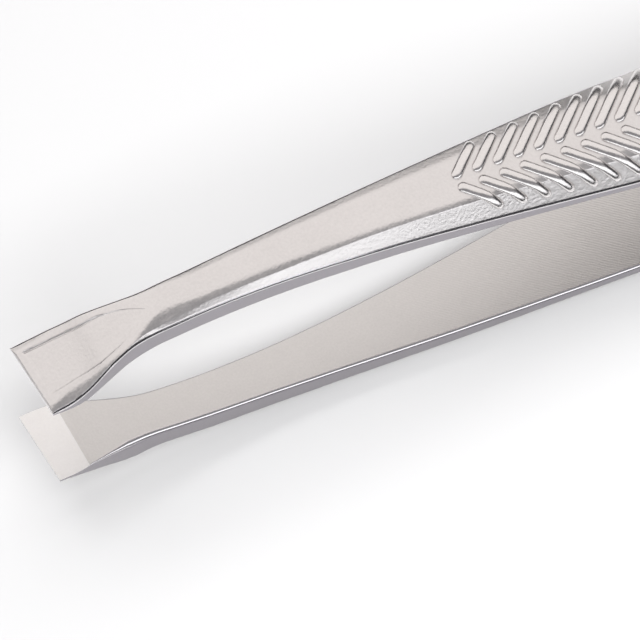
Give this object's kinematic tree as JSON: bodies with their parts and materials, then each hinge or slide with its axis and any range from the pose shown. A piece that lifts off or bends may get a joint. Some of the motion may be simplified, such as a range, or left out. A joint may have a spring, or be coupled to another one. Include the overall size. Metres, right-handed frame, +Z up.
{
  "type": "slant tweezers",
  "caption": "Slant tweezers: sprung coined-steel arms welded at the heel, with flared slanted tips and herringbone ribs on the grips.",
  "frame": {"origin": "on the floor, under the middle of the bounding box, with the tweezers lying on the ribs and heel of the lower arm", "axes": "+X from the tips towards the heel, +Z up, +Y across the arms, on the side where the slanted tips reach further forward"},
  "size_m": [0.0954, 0.008, 0.0193],
  "materials": {
    "arm_steel": "satin stainless steel, finely blasted outside, ground inside, with polished edges",
    "weld_steel": "dull fused stainless steel"
  },
  "bodies": {
    "heel": {"upper_heel": "arm_steel", "lower_heel": "arm_steel", "spot_weld_front": "weld_steel", "spot_weld_rear": "weld_steel"},
    "upper_arm": {"upper_arm": "arm_steel"},
    "lower_arm": {"lower_arm": "arm_steel"}
  },
  "joints": [
    {"name": "upper_arm_flex", "type": "hinge", "parent": "heel", "child": "upper_arm", "pos_m": [0.03282, 0, 0.00464], "axis": [0, -1, 0], "range_deg": [0, 3.41], "stiffness_Nm_per_rad": 2},
    {"name": "lower_arm_flex", "type": "hinge", "parent": "heel", "child": "lower_arm", "pos_m": [0.0325, 0, 0.00165], "axis": [0, 1, 0], "range_deg": [0, 3.41], "stiffness_Nm_per_rad": 2}
  ]
}
